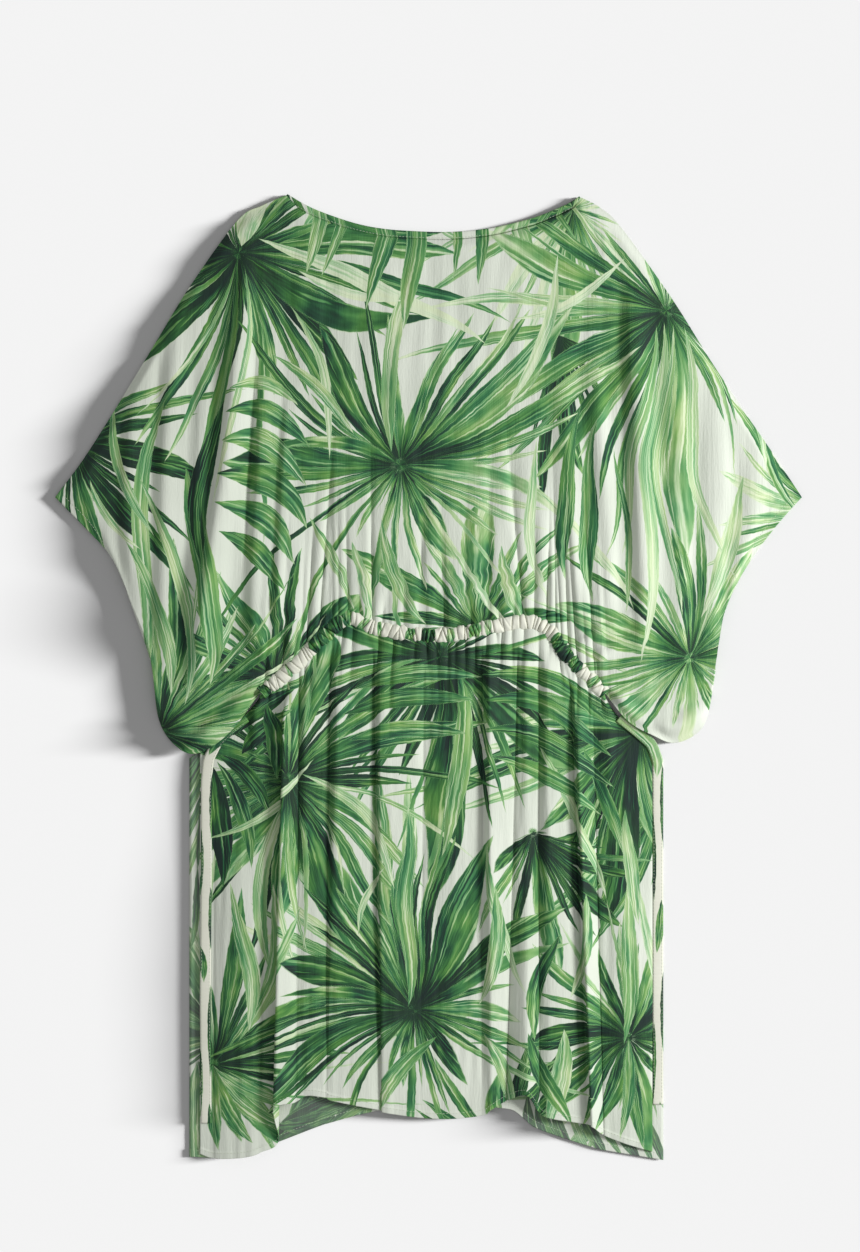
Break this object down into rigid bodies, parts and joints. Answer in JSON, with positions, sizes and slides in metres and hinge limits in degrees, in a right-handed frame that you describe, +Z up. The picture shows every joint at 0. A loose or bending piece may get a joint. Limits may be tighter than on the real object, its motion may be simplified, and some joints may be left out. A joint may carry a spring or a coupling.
{
  "type": "beach kaftan",
  "caption": "Beach kaftan laid flat with its back up: batwing sleeves, boat neck, gathered elastic waist, flared short skirt with a turned hem, and loose belt ends.",
  "frame": {"origin": "centre of the garment's outline, on the surface it lies on", "axes": "+Y from the hem towards the neck, +X to the right seen from above with the neck up, +Z up from the surface"},
  "size_m": [0.696, 0.9, 0.0158],
  "materials": {
    "printed_cloth": "matt crinkled chiffon, off-white with a green palm-leaf print",
    "neck_binding": "the same printed chiffon, folded double and topstitched",
    "waist_casing": "the same printed chiffon, gathered tight over elastic",
    "belt": "the same printed chiffon, folded and topstitched flat"
  },
  "bodies": {
    "root": {"front_skirt": "printed_cloth", "back_skirt": "printed_cloth", "front_bodice": "printed_cloth", "back_bodice": "printed_cloth", "neck_band_front": "neck_binding", "neck_band_back": "neck_binding", "waist_casing_front": "waist_casing", "waist_casing_back": "waist_casing", "tie_left": "belt", "tie_right": "belt"}
  },
  "joints": []
}
